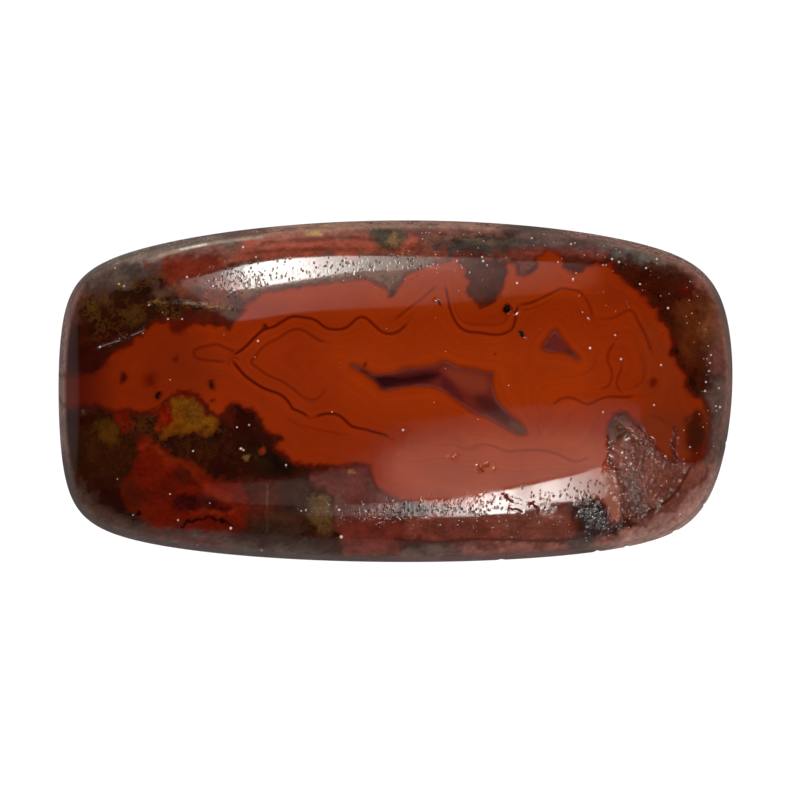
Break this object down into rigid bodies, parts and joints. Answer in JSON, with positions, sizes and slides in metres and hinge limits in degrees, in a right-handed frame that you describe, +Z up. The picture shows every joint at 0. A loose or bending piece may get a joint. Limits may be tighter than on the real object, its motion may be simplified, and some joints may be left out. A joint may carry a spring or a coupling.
{
  "type": "agate cabochon",
  "caption": "Long cushion-shaped slice of banded agate with a polished dome, a flared girdle wall and a flat lapped back, made to be set in a bezel or glued to a plate.",
  "frame": {"origin": "Middle of the flat back, in the plane that the stone rests on.", "axes": "+X runs along the stone's length toward the end with the rough corner, +Y across it toward the picture's upper edge, +Z up through the dome."},
  "size_m": [0.042, 0.0212, 0.0061],
  "materials": {
    "polished_agate": "polished"
  },
  "bodies": {
    "root": {"cabochon": "polished_agate"}
  },
  "joints": []
}
